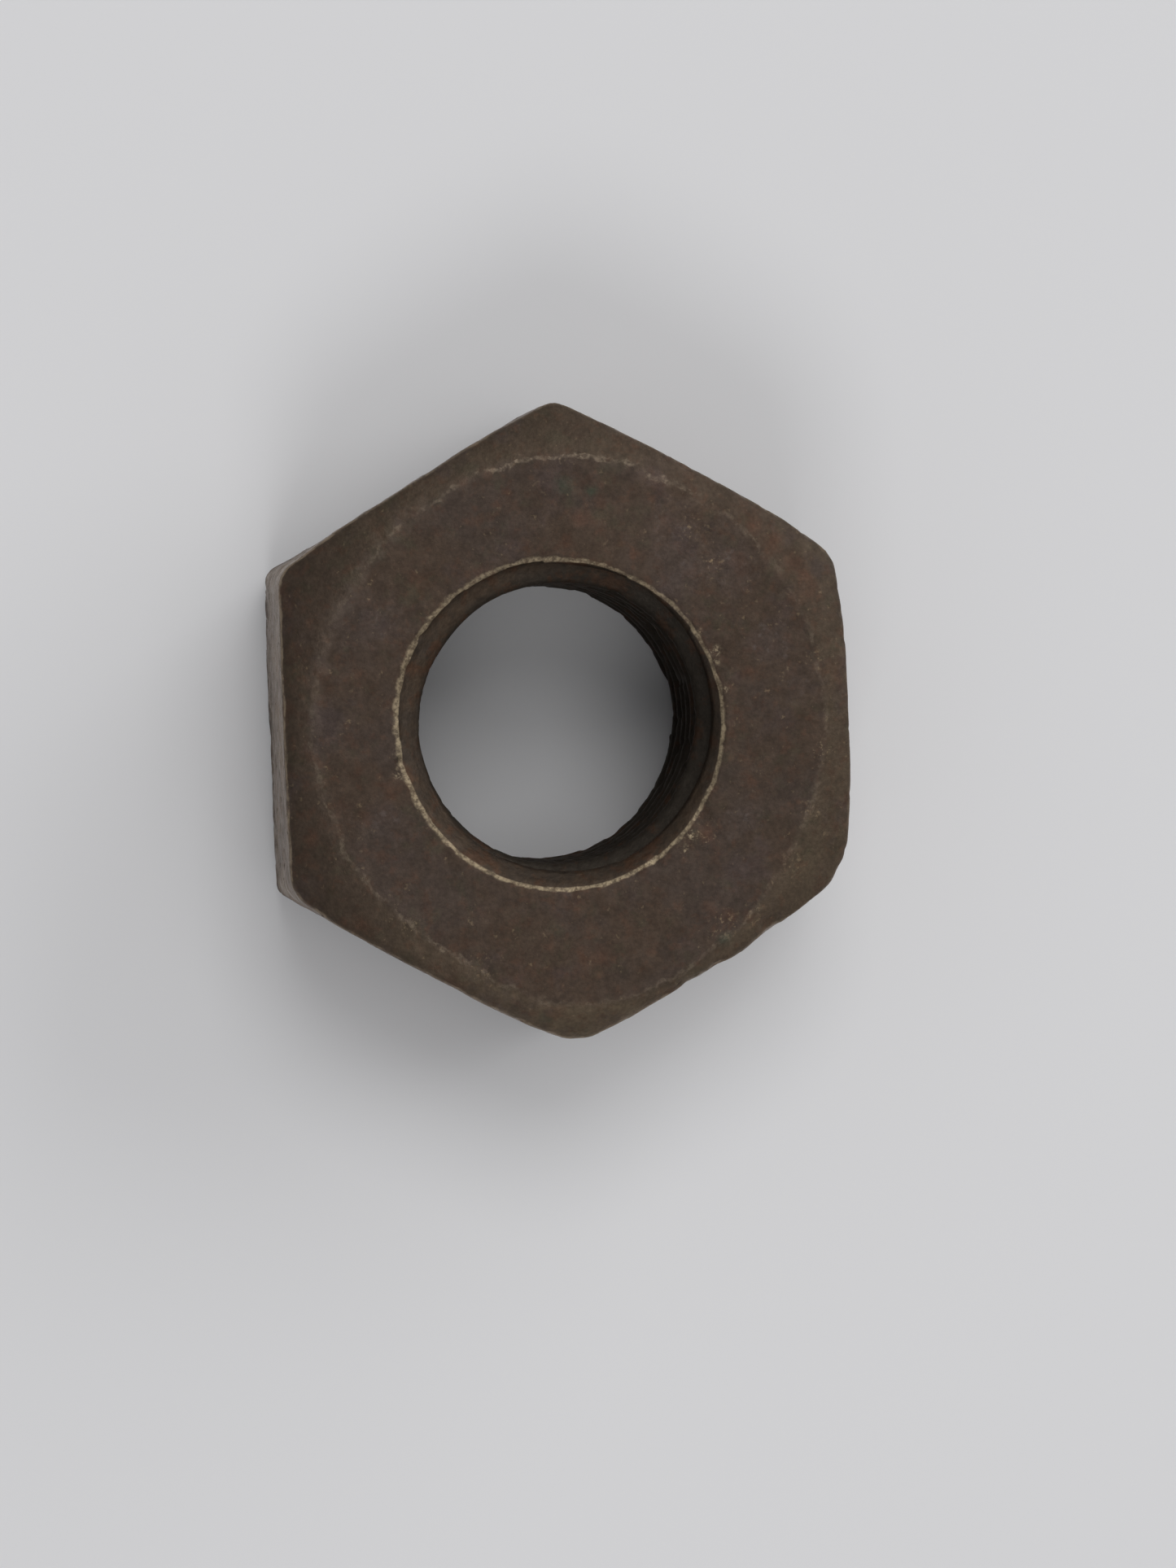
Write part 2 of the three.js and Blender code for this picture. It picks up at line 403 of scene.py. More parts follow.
def add_hole(mesh, upper_rim, lower_rim):
    """The hole's wall between the two rims, in rows that follow the thread's helix."""
    top = mesh.points[upper_rim, 2]
    bottom = mesh.points[lower_rim, 2]
    row_height = PITCH / ROWS_PER_TURN
    rows = np.arange(-ROWS_PER_TURN, math.ceil(HEIGHT / row_height) + 2)
    turns = np.arange(COLUMNS) / COLUMNS
    heights = row_height * rows[None, :] + PITCH * turns[:, None]
    # Points closer to a rim than this are merged into it.
    clearance = 0.3 * row_height
    too_high = heights > top[:, None] - clearance
    too_low = heights < bottom[:, None] + clearance
    numbers = np.where(too_high, upper_rim[:, None], lower_rim[:, None])
    column, row = np.nonzero(~too_high & ~too_low)
    angles, height = ANGLES[column], heights[column, row]
    radius = hole_radius(angles, height)
    into = np.minimum(top[column] - height, height - bottom[column])
    x, y = radius * np.cos(angles), radius * np.sin(angles)
    marks = (-RIM_FALL * into, -FAR, -FAR, np.minimum(into / MOUTH_DEPTH, 1))
    numbers[column, row] = mesh.add_points(x, y, height, *marks)

    # The last column meets the first one a whole turn further up the helix.
    beyond = np.full(len(rows), upper_rim[0])
    beyond[:-ROWS_PER_TURN] = numbers[0, ROWS_PER_TURN:]
    numbers = np.vstack([numbers, beyond])
    for here, there in zip(numbers.tolist(), numbers[1:].tolist()):
        for row in range(len(rows) - 1):
            corners = (here[row], here[row + 1], there[row + 1], there[row])
            distinct = [corner for place, corner in enumerate(corners) if corner != corners[place - 1]]
            if len(distinct) > 2:
                mesh.faces.append(distinct)


# ---------------------------------------------------------------- wear on the mesh

# How deep the unevenness goes: broad swells, lumps and grain outside, lumps and pits in the hole,
# ripples and pits on the flats
SWELL_DEPTH = 0.05
LUMP_DEPTH = 0.045
GRAIN_DEPTH = 0.018
HOLE_LUMP_DEPTH = 0.03
HOLE_PIT_DEPTH = 0.07
RIPPLE_DEPTH = 0.05
SIDE_PIT_DEPTH = 0.06
# How deep each edge is nibbled, and how far to either side
UPPER_NIBBLE = (0.10, 0.6)
LOWER_NIBBLE = (0.45, 1.0)
RIM_NIBBLE = (0.12, 0.22)
FACE_EDGE_NIBBLE = (0.07, 0.6)
# How high the burr along the face's edge stands, and how far to either side
FACE_EDGE_BURR = (0.03, 0.35)

# How sharply a knock's sides turn into its bottom
KNOCK_POWER = 1.2
# Knocks in the surface: angle, radius, height, size, depth
KNOCKS = [
    # round the rim
    (193, 9.9, HEIGHT, 0.75, 0.22),
    (190, 9.7, HEIGHT, 0.45, 0.18),
    (24, 9.8, HEIGHT, 0.55, 0.16),
    (27, 9.75, HEIGHT, 0.4, 0.12),
    (323, 9.55, HEIGHT, 0.7, 0.2),
    (300, 9.6, HEIGHT, 0.5, 0.15),
    (147, 9.75, HEIGHT, 0.45, 0.15),
    # on the upper face and its crown
    (52, 14.4, HEIGHT, 1.3, 0.07),
    (55, 13.9, HEIGHT, 0.7, 0.06),
    (60, 13.5, HEIGHT, 0.6, 0.05),
    (307, 15.4, HEIGHT - 0.2, 1.1, 0.16),
    (313, 16.6, HEIGHT - 0.8, 0.9, 0.30),
    (302, 15.9, HEIGHT - 0.4, 0.8, 0.14),
    (293, 16.2, HEIGHT - 0.7, 0.9, 0.05),
    (272, 18.1, HEIGHT - 2.6, 0.9, 0.30),
    # along the lower edge
    (266, 17.9, 2.2, 1.4, 0.35),
    (146, 17.6, 1.4, 1.4, 0.14),
    (160, 16.9, 0.9, 0.8, 0.20),
    (171, 16.4, 0.9, 0.7, 0.22),
    (188, 16.4, 1.1, 0.9, 0.25),
    (201, 17.2, 1.0, 1.0, 0.25),
    (214, 18.0, 1.6, 1.2, 0.25),
    # on the flats and upright corners
    (84, 18.4, 15.9, 1.0, 0.25),
    (352, 16.4, 6.0, 1.2, 0.15),
    (29, 18.3, 11.5, 0.8, 0.22),
    (31, 18.3, 7.2, 0.6, 0.18),
    (91, 18.6, 6.5, 0.9, 0.25),
    (149, 18.2, 12.5, 0.8, 0.2),
    (211, 18.2, 9.0, 0.9, 0.25),
    (209, 18.2, 13.6, 0.6, 0.2),
    (269, 18.4, 10.2, 0.8, 0.25),
    (331, 18.0, 12.0, 1.0, 0.2),
    (329, 18.0, 5.0, 0.7, 0.2),
    (10, 16.9, 14.0, 0.7, 0.1),
    (66, 16.7, 12.0, 0.8, 0.1),
    (113, 16.9, 5.5, 0.7, 0.12),
    (186, 16.5, 8.0, 0.7, 0.1),
    (245, 16.9, 6.0, 0.9, 0.12),
    (308, 16.9, 9.5, 0.8, 0.12),
    (40, 17.6, 4.4, 1.6, 0.3),
    (100, 17.3, 9.0, 1.5, 0.14),
    (232, 16.8, 12.0, 1.2, 0.12),
    # on the lower face
    (68, 15.5, 0.4, 1.4, 0.2),
    (250, 13.0, 0.0, 1.0, 0.1),
]


def dent(points, angle, radius, height, size):
    """1 in the middle of a round dent of the given size, falling to 0 at its edge."""
    away = np.linalg.norm(points - np.array(spot(angle, radius, height)), axis=1) / size
    return np.clip(1 - away ** 2, 0, 1) ** KNOCK_POWER


def weather(points, normals, marks):
    """Pushes the points in along their normals: forging unevenness, pits, nibbled edges, knocks."""
    def near(name, depth, width):
        """The depth where that distance is 0, fading away within about the width."""
        return depth * np.exp(-(marks[name] / width) ** 2)

    hole = marks["in_hole"]
    side = (marks["from_face_edge"] >= FAR) * 1.0
    angles = np.arctan2(points[:, 1], points[:, 0])
    upper = smoothstep(0.4, 0.6, points[:, 2] / HEIGHT)

    # Forging unevenness outside, grime and pits in the hole, ripples and pits on the flats
    swell = 0.5 + 0.5 * mottle(points, 5.0, octaves=2, seed=21)
    lumps = 0.5 + 0.5 * mottle(points, 1.7, octaves=3, seed=22)
    grain = 0.5 + 0.5 * mottle(points, 0.6, octaves=2, seed=23)
    push = (1 - hole) * (SWELL_DEPTH * swell + LUMP_DEPTH * lumps + GRAIN_DEPTH * grain)
    hole_pits = smoothstep(0.0, 0.9, mottle(points, 0.9, octaves=3, seed=28))
    push += hole * (HOLE_LUMP_DEPTH * lumps + HOLE_PIT_DEPTH * hole_pits)
    push += side * RIPPLE_DEPTH * mottle(points * np.array([1, 1, 0.6]), 1.1, octaves=3, seed=24)
    side_pits = smoothstep(0.25, 0.7, mottle(points, 0.7, octaves=2, seed=29))
    push += side * SIDE_PIT_DEPTH * side_pits

    # Nibbled edges, with a burr standing up along the edge of the face
    nibble = smoothstep(0.1, 0.8, mottle(points, 1.0, octaves=3, seed=25))
    chewed = smoothstep(0.0, 0.7, mottle(points, 1.0, octaves=3, seed=27))
    push += upper * nibble * around(EDGE_NIBBLES, angles) * near("from_edge", *UPPER_NIBBLE)
    push += (1 - upper) * chewed * near("from_edge", *LOWER_NIBBLE)
    push += nibble * (near("from_rim", *RIM_NIBBLE) + near("from_face_edge", *FACE_EDGE_NIBBLE))
    burred = smoothstep(-0.2, 0.5, mottle(points, 2.2, octaves=2, seed=26))
    rise = near("from_face_edge", *FACE_EDGE_BURR) * burred

    rough = 0.8 + 0.4 * lumps
    for angle, radius, height, size, depth in KNOCKS:
        push += depth * rough * dent(points, angle, radius, height, size)
    return points - normals * (push - rise)[:, None]


def vertex_normals(data):
    normals = np.zeros(len(data.vertices) * 3, np.float32)
    data.vertex_normals.foreach_get("vector", normals)
    return normals.reshape(-1, 3).astype(float)


def material_marks(marks, points):
    """The marks that the material reads: the distances, and each list of wear, tone and painted light
    read at its angle.
    """
    angles = np.arctan2(points[:, 1], points[:, 0])
    on_flat = marks["from_face_edge"] >= FAR
    from_corner = np.abs(angles % (math.pi / 3) - math.pi / 6) * HALF_FLATS
    return {
        **marks,
        "rim_shine": around(RIM_SHINE, angles),
        "rim_line_width": around(RIM_LINE_WIDTH, angles),
        "face_edge_shine": around(FACE_EDGE_SHINE, angles),
        "face_edge_haze": around(FACE_EDGE_HAZE, angles),
        # The outer edge's line, partly bare metal and partly a painted highlight
        "edge_wear_and_highlight": around(EDGE_WEAR_AND_HIGHLIGHT, angles),
        # The chamfer's tone, partly painted light and shade
        "crown_tone_and_painted_light": around(CROWN_TONES_AND_PAINTED_LIGHT, angles),
        # Painted sheen on the faces and chamfers, painted reflection on the flats
        "painted_sheen_and_reflection": np.where(on_flat, around(FLAT_PAINTED_REFLECTION, angles), around(FACE_PAINTED_SHEEN, angles)),
        # Painted light and shade round the hole
        "hole_painted_light_and_shade": around(HOLE_PAINTED_LIGHT_AND_SHADE, angles),
        "corner_wear": np.exp(-(from_corner / CORNER_WEAR_WIDTH) ** 2),
    }


def build_nut():
    mesh = NutMesh()
    upper_rim, lower_rim = add_outside(mesh)
    add_hole(mesh, upper_rim, lower_rim)

    data = bpy.data.meshes.new("hex_nut")
    data.from_pydata((mesh.points * MM).tolist(), [], mesh.faces)
    data.update()
    worn = weather(mesh.points, vertex_normals(data), mesh.marks)
    worn = np.clip(worn, CAD_LOW, CAD_HIGH)
    data.vertices.foreach_set("co", (worn * MM).astype(np.float32).ravel())
    data.update()
    for name, values in material_marks(mesh.marks, worn).items():
        layer = data.attributes.new(name, "FLOAT", "POINT")
        layer.data.foreach_set("value", values.astype(np.float32))
    data.polygons.foreach_set("use_smooth", [True] * len(data.polygons))
    nut = bpy.data.objects.new("hex_nut", data)
    bpy.context.scene.collection.objects.link(nut)
    return nut


# ================================================================ materials

def tone(red, green, blue):
    """A display colour, 0 to 255, as the linear colour that shaders take."""
    shares = [value / 255 for value in (red, green, blue)]
    linear = [share / 12.92 if share <= 0.04045 else ((share + 0.055) / 1.055) ** 2.4 for share in shares]
    return (*linear, 1)


class Surface:
    """A node material, built with short calls. Sizes of lumps and depths of bumps are millimetres."""

    def __init__(self, name):
        self.material = bpy.data.materials.new(name)
        self.material.use_nodes = True
        self.tree = self.material.node_tree
        self.shader = self.tree.nodes["Principled BSDF"]
        self.place = self.node("ShaderNodeTexCoord").outputs["Object"]

    def node(self, kind, inputs=None, **settings):
        made = self.tree.nodes.new(kind)
        for name, value in settings.items():
            setattr(made, name, value)
        for socket, value in (inputs or {}).items():
            self.feed(made.inputs[socket], value)
        return made

    def feed(self, socket, value):
        if isinstance(value, bpy.types.NodeSocket):
            self.tree.links.new(value, socket)
        else:
            socket.default_value = value

    def mark(self, name):
        return self.node("ShaderNodeAttribute", attribute_name=name).outputs["Fac"]

    def math(self, operation, first, second=0.0):
        made = self.node("ShaderNodeMath", {0: first, 1: second}, operation=operation)
        return made.outputs["Value"]

    def times(self, first, *others):
        for other in others:
            first = self.math("MULTIPLY", first, other)
        return first

    def plus(self, first, second):
        return self.math("ADD", first, second)

    def minus(self, first, second):
        return self.math("SUBTRACT", first, second)

    def over(self, first, second):
        return self.math("DIVIDE", first, second)

    def larger(self, first, second):
        return self.math("MAXIMUM", first, second)

    def step(self, value, low, high, start=0.0, end=1.0):
        """start up to low, end from high, and a smooth change between."""
        made = self.node("ShaderNodeMapRange", {
            "Value": value, "From Min": low, "From Max": high, "To Min": start, "To Max": end,
        }, interpolation_type="SMOOTHSTEP")
        return made.outputs["Result"]

    def fade(self, share, start, end):
        """start where the share is 0, end where it is 1."""
        return self.step(share, 0.0, 1.0, start, end)

    def line(self, distance, half_width):
        """1 on a line, falling to 0 at half_width to either side."""
        away = self.math("ABSOLUTE", distance)
        return self.minus(1.0, self.step(self.over(away, half_width), 0.35, 1.0))

    def noise(self, size, seed, detail=3, roughness=0.6, flatten=1.0):
        """Lumps of about the given size; flatten makes them so many times wider than high."""
        place = self.place
        if flatten != 1.0:
            stretch = {0: place, 1: (1, 1, flatten)}
            place = self.node("ShaderNodeVectorMath", stretch, operation="MULTIPLY").outputs["Vector"]
        made = self.node("ShaderNodeTexNoise", {
            "Vector": place, "Scale": 1 / (size * MM), "Detail": detail,
            "Roughness": roughness, "W": seed,
        }, noise_dimensions="4D")
        return made.outputs["Fac"]

    def blotches(self, size, seed, low, high, start=0.0, end=1.0, **kind):
        """Noise made into a mask: start where it is under low, end where it is over high."""
        return self.step(self.noise(size, seed, **kind), low, high, start, end)

    def mix(self, share, first, second, blend="MIX"):
        inputs = {0: share, 6: first, 7: second}
        return self.node("ShaderNodeMix", inputs, data_type="RGBA", blend_type=blend).outputs[2]

    def shade(self, colour, light):
        """The colour made lighter or darker by a grey multiplier."""
        grey = self.node("ShaderNodeCombineColor", {0: light, 1: light, 2: light}).outputs[0]
        return self.mix(1.0, colour, grey, "MULTIPLY")

    def bump(self, height, depth, strength=1.0, normal=None):
        inputs = {"Height": height, "Distance": depth * MM, "Strength": strength}
        if normal is not None:
            inputs["Normal"] = normal
        return self.node("ShaderNodeBump", inputs).outputs["Normal"]


# ---------------------------------------------------------------- where the oxide has patches

# Soft round patches of each kind: angle, radius, height, size
RUST_PATCHES = [
    (308, 14.6, HEIGHT, 0.8), (311, 15.4, HEIGHT, 0.6), (319, 10.3, HEIGHT, 0.8),
    (27, 16.1, HEIGHT - 0.5, 1.2), (33, 16.1, HEIGHT - 0.5, 1.2), (39, 15.9, HEIGHT - 0.4, 1.1),
    (45, 15.8, HEIGHT - 0.4, 0.9), (30, 16.3, HEIGHT - 0.6, 1.0), (14, 11.0, HEIGHT, 0.6),
    (276, 13.6, HEIGHT, 0.9), (66, 10.6, HEIGHT, 0.7), (88, 10.4, HEIGHT, 0.7),
    (202, 16.4, HEIGHT - 0.6, 0.7), (84, 12.0, HEIGHT, 0.9), (168, 15.6, HEIGHT - 1, 1.3),
    (222, 16.5, HEIGHT - 1, 1.2),
]
GREEN_PATCHES = [
    (89, 13.8, HEIGHT, 1.0), (82, 13.6, HEIGHT, 0.6), (304, 15.6, HEIGHT, 0.7),
    (264, 17.0, HEIGHT - 0.9, 0.8),
]
GREY_PATCHES = [
    (20, 12.6, HEIGHT, 2.2), (40, 13.2, HEIGHT, 2.4), (58, 13.0, HEIGHT, 2.2),
    (50, 11.0, HEIGHT, 1.6), (8, 13.6, HEIGHT, 1.6), (150, 12.5, HEIGHT, 2.0),
    (330, 11.8, HEIGHT, 1.8), (205, 12.0, HEIGHT, 1.8),
]
GLINTING = [
    (306, 14.8, HEIGHT, 1.6), (312, 15.6, HEIGHT, 1.3), (319, 10.4, HEIGHT, 1.2),
    (326, 15.4, HEIGHT, 1.2), (310, 10.2, HEIGHT, 0.9), (55, 13.6, HEIGHT, 1.6),
    (46, 12.6, HEIGHT, 1.1), (13, 14.8, HEIGHT, 1.0), (248, 15.0, HEIGHT, 1.3),
    (230, 14.9, HEIGHT, 1.0), (352, 15.0, HEIGHT, 1.2), (339, 15.2, HEIGHT, 1.2),
]
RIM_CLUMPS = [
    (24, 9.65, HEIGHT, 0.55), (21, 9.35, HEIGHT, 0.4), (10, 9.45, HEIGHT, 0.4),
    (33, 9.35, HEIGHT, 0.35), (194, 10.1, HEIGHT, 0.7), (188, 9.95, HEIGHT, 0.55),
    (316, 9.7, HEIGHT, 0.5), (311, 10.0, HEIGHT, 0.4),
]
OLIVE_PATCHES = [
    (26, 17.3, HEIGHT - 1.2, 1.0), (34, 17.2, HEIGHT - 1.2, 0.9), (210, 17.5, HEIGHT - 1.4, 0.9),
]
DARK_PATCHES = [
    (85, 12.9, HEIGHT, 0.5), (52, 14.2, HEIGHT, 0.9), (280, 15.0, HEIGHT, 0.7),
    (268, 17.5, HEIGHT - 1.3, 0.9),
]


def patches(s, places):
    """A mask of soft round patches, broken up by noise."""
    wander = s.times(s.noise(0.9, 41, roughness=0.7), 1.6)
    total = None
    for angle, radius, height, size in places:
        at = Vector(spot(angle, radius, height)) * MM
        away = s.node("ShaderNodeVectorMath", {0: s.place, 1: at}, operation="DISTANCE")
        reach = s.over(away.outputs["Value"], size * MM)
        mask = s.step(s.plus(reach, wander), 0.75, 1.75, 1.0, 0.0)
        total = mask if total is None else s.larger(total, mask)
    return total


# ---------------------------------------------------------------- the steel's colours

FACE_BROWN = tone(68, 57, 50)
FACE_CLOUD = tone(69, 56, 46)
# The chamfer's two tones, mixed by angle, carry painted light and shade as well as colour
CROWN_DARK = tone(61, 50, 42)
CROWN_OLIVE = tone(94, 81, 65)
CROWN_CLOUD = tone(74, 61, 51)
FLAT_DARK = tone(66, 52, 39)
FLAT_PALE = tone(89, 72, 55)
FLAT_WORN = tone(128, 108, 82)
FLAT_SCALE = tone(52, 43, 36)
OXIDE_GREY = tone(76, 66, 62)
OXIDE_SPECK = tone(98, 88, 84)
OXIDE_RUST = tone(88, 60, 46)
OXIDE_GREEN = tone(58, 68, 54)
OXIDE_DARK = tone(42, 37, 33)
HOLE_BROWN = tone(67, 58, 50)
HOLE_CLOUD = tone(76, 63, 51)
# Painted shade deep in the hole
HOLE_DEEP_PAINTED_SHADE = tone(61, 55, 48)
HOLE_RUST = tone(84, 58, 42)
# Dirt in pits and scuffs, and painted shade along the lower edge
GRIME_AND_PAINTED_SHADE = tone(40, 33, 28)
BARE_FLECK = tone(148, 128, 100)
BARE_FLAT = tone(132, 116, 95)
BARE_HAZE = tone(108, 96, 86)
BARE_FACE_EDGE = tone(146, 131, 112)
# Bare metal and a painted highlight along the outer edge
OUTER_EDGE_BARE_AND_HIGHLIGHT = tone(152, 136, 114)
BARE_RIM = tone(170, 154, 126)

# Patches on the oxide: their places, how much of them shows, colour
PATCH_TINTS = [
    (RUST_PATCHES, 0.45, OXIDE_RUST),
    (GREEN_PATCHES, 0.65, OXIDE_GREEN),
    (OLIVE_PATCHES, 0.35, CROWN_OLIVE),
    (DARK_PATCHES, 0.5, OXIDE_DARK),
]

# Tints all over the oxide: lump size, noise seed, how much of it shows, colour
TINTS = [
    (1.9, 3, 0.40, tone(82, 57, 44)),
    (1.3, 31, 0.35, tone(63, 61, 46)),
    (2.6, 32, 0.35, tone(71, 60, 60)),
    (0.7, 33, 0.30, tone(88, 60, 45)),
]

# How much of the bare tones shows along the edges
HAZE_SHARE = 0.26
FACE_EDGE_SHARE = 0.6
RIM_SHARE = 0.85

# The steel's specular level and tint
SHEEN = 0.35
SHEEN_TINT = (1.0, 0.92, 0.85, 1)


def rim_line(s):
    """The bare line along the hole's rim, with clumps of torn metal beside it."""
    from_rim = s.mark("from_rim")
    width = s.times(s.blotches(0.9, 9, 0.3, 0.7, 0.14, 0.30), s.mark("rim_line_width"))
    line = s.step(s.over(from_rim, width), 0.4, 1.0, 1.0, 0.0)
    line = s.times(line, s.step(from_rim, -0.10, -0.02), s.mark("rim_shine"))
    clumps = s.times(patches(s, RIM_CLUMPS), s.step(from_rim, -0.1, 0.0))
    clumps = s.times(clumps, s.blotches(0.22, 43, 0.47, 0.60, roughness=0.7))
    line = s.larger(line, clumps)
    return s.times(line, s.blotches(0.24, 10, 0.36, 0.62, 0.25, 1.0, roughness=0.65))


def face_lines(s):
    """The broken bare line along the edge of the bearing face, and the soft haze around it."""
    away = s.plus(s.mark("from_face_edge"), s.blotches(1.6, 7, 0.3, 0.7, -0.2, 0.2))
    width = s.blotches(0.7, 38, 0.3, 0.7, 0.12, 0.34)
    line = s.times(s.line(away, width), s.mark("face_edge_shine"))
    line = s.times(line, s.blotches(1.0, 6, 0.40, 0.62, 0.15, 1.0, detail=4, roughness=0.65))
    line = s.times(line, s.blotches(0.28, 18, 0.38, 0.6, 0.15, 1.0, roughness=0.65))
    haze = s.times(s.line(away, 0.75), s.mark("face_edge_haze"))
    haze = s.times(haze, s.blotches(0.6, 44, 0.40, 0.60, 0.25, 1.0, detail=4, roughness=0.65))
    return line, haze


def outer_edge_line_and_highlight(s):
    """The pale line along the outer edges, broken into runs: partly bare metal, partly a painted
    highlight.
    """
    shine = s.mark("edge_wear_and_highlight")
    width = s.blotches(1.2, 39, 0.35, 0.65, 0.08, 0.28, detail=4, roughness=0.65)
    line = s.times(s.line(s.minus(s.mark("from_edge"), 0.05), width), shine)
    gaps = s.plus(s.noise(0.9, 15, detail=4, roughness=0.65), s.times(shine, 0.18))
    return s.times(line, s.step(gaps, 0.55, 0.72))


def face_colour(s, low):
    """Brown oxide on the bearing faces, running into the chamfers' tones, which carry painted light and
    shade too.
    """
    clouds = s.blotches(4.5, 1, 0.38, 0.62, detail=4)
    face = s.mix(clouds, FACE_BROWN, FACE_CLOUD)
    on_crown = s.times(s.step(s.mark("from_face_edge"), -0.2, 0.4), s.fade(low, 1.0, 0.5))
    # The chamfer's tone by angle, partly painted light and shade
    crown = s.mix(s.mark("crown_tone_and_painted_light"), CROWN_DARK, CROWN_OLIVE)
    crown = s.mix(s.times(s.blotches(3.0, 2, 0.35, 0.65), 0.4), crown, CROWN_CLOUD)
    return s.mix(on_crown, face, crown)


def flat_colour(s):
    """Paler brown on the flats, streaked along the nut's width, worn in places and scaly in others."""
    streaks = s.blotches(1.7, 16, 0.34, 0.66, detail=6, roughness=0.7, flatten=3.0)
    colour = s.mix(streaks, FLAT_DARK, FLAT_PALE)
    worn = s.blotches(3.6, 22, 0.50, 0.62, detail=4)
    worn = s.times(worn, s.blotches(0.7, 23, 0.40, 0.58, detail=4, roughness=0.7, flatten=2.5), 0.4)
    colour = s.mix(worn, colour, FLAT_WORN)
    scale = s.blotches(2.8, 48, 0.51, 0.57, detail=6, roughness=0.7, flatten=1.4)
    return s.mix(s.times(scale, 0.45), colour, FLAT_SCALE)


def oxide_colour(s, flat, low):
    """The oxide outside the hole, tinted all over, with patches of its other colours."""
    colour = s.mix(flat, face_colour(s, low), flat_colour(s))
    for size, seed, share, tint in TINTS:
        lumps = s.blotches(size, seed, 0.52, 0.68, detail=5, roughness=0.62)
        colour = s.mix(s.times(lumps, share), colour, tint)
    grey = patches(s, GREY_PATCHES)
    colour = s.mix(s.times(grey, 0.45), colour, OXIDE_GREY)
    colour = s.mix(s.times(grey, s.blotches(0.45, 45, 0.54, 0.66), 0.4), colour, OXIDE_SPECK)
    for places, share, tint in PATCH_TINTS:
        colour = s.mix(s.times(patches(s, places), share), colour, tint)
    return colour


def hole_colour(s):
    """Grimier oxide in the hole, rusty in patches, with painted shade deep inside and painted light and
    shade by angle.
    """
    colour = s.mix(s.blotches(1.2, 8, 0.35, 0.65, detail=4), HOLE_BROWN, HOLE_CLOUD)
    # Painted shade deep inside the hole
    colour = s.mix(s.step(s.mark("in_hole"), 0.55, 1.0), colour, HOLE_DEEP_PAINTED_SHADE)
    colour = s.mix(s.blotches(1.4, 21, 0.50, 0.64, 0.0, 0.60, detail=4), colour, HOLE_RUST)
    fine = s.blotches(0.35, 46, 0.3, 0.7, 0.76, 1.20, detail=4, roughness=0.7, flatten=2.0)
    # Painted light and shade round the hole, angle by angle
    return s.shade(s.shade(colour, fine), s.mark("hole_painted_light_and_shade"))


def flat_pits(s, flat):
    """Small dark pits on the flats."""
    return s.times(flat, s.blotches(0.5, 34, 0.63, 0.67, roughness=0.55, flatten=1.3))


def grime_and_painted_shade(s, flat, low, height, pits):
    """Dirt in the pits and in upright scuffs at the foot of the flats, and painted shade in dashes along
    the ragged lower edge.
    """
    foot = s.times(s.step(height, 1.5 * MM, 7.5 * MM, 1.0, 0.0), flat)
    scuffs = s.times(foot, s.blotches(1.2, 19, 0.46, 0.56, detail=5, roughness=0.7, flatten=0.5))
    # Painted shade in dashes along the ragged lower edge
    lower_edge_shade = s.line(s.mark("from_edge"), 0.9)
    lower_edge_shade = s.times(lower_edge_shade, s.blotches(1.4, 42, 0.50, 0.56, detail=4, roughness=0.65))
    on_flats = s.larger(s.times(scuffs, 0.7), s.times(pits, 0.75))
    return s.larger(on_flats, s.times(lower_edge_shade, s.times(low, 0.8)))


def bare_flecks(s):
    """Tiny bare flecks all over the oxide, crowded in the glinting patches."""
    flecks = s.times(s.blotches(0.4, 5, 0.62, 0.74), 0.3)
    crowded = s.times(patches(s, GLINTING), s.blotches(0.25, 20, 0.54, 0.68))
    return s.larger(flecks, s.times(crowded, 0.6))


def flat_scratches(s, flat):
    """Long thin scratches across the flats, here and there."""
    scratches = s.times(s.blotches(3.0, 35, 0.62, 0.68, detail=2, roughness=0.5, flatten=24), flat)
    return s.times(scratches, s.blotches(2.6, 36, 0.46, 0.58))


def rubbed_metal(s, flat, low, scratches):
    """Metal rubbed bare in the scratches, on the upright corners and below the upper edge."""
    corners = s.times(s.mark("corner_wear"), s.blotches(1.2, 37, 0.43, 0.57, detail=6, roughness=0.7))
    rubbed = s.larger(s.times(scratches, 0.6), s.times(corners, 0.5))
    shoulder = s.times(s.step(s.mark("from_edge"), 0.0, 3.0, 1.0, 0.0), s.fade(low, 1.0, 0.0))
    streaks = s.blotches(1.4, 47, 0.42, 0.62, detail=4, roughness=0.7, flatten=4.0)
    rubbed = s.larger(rubbed, s.times(shoulder, streaks, 0.45))
    return s.times(rubbed, flat)


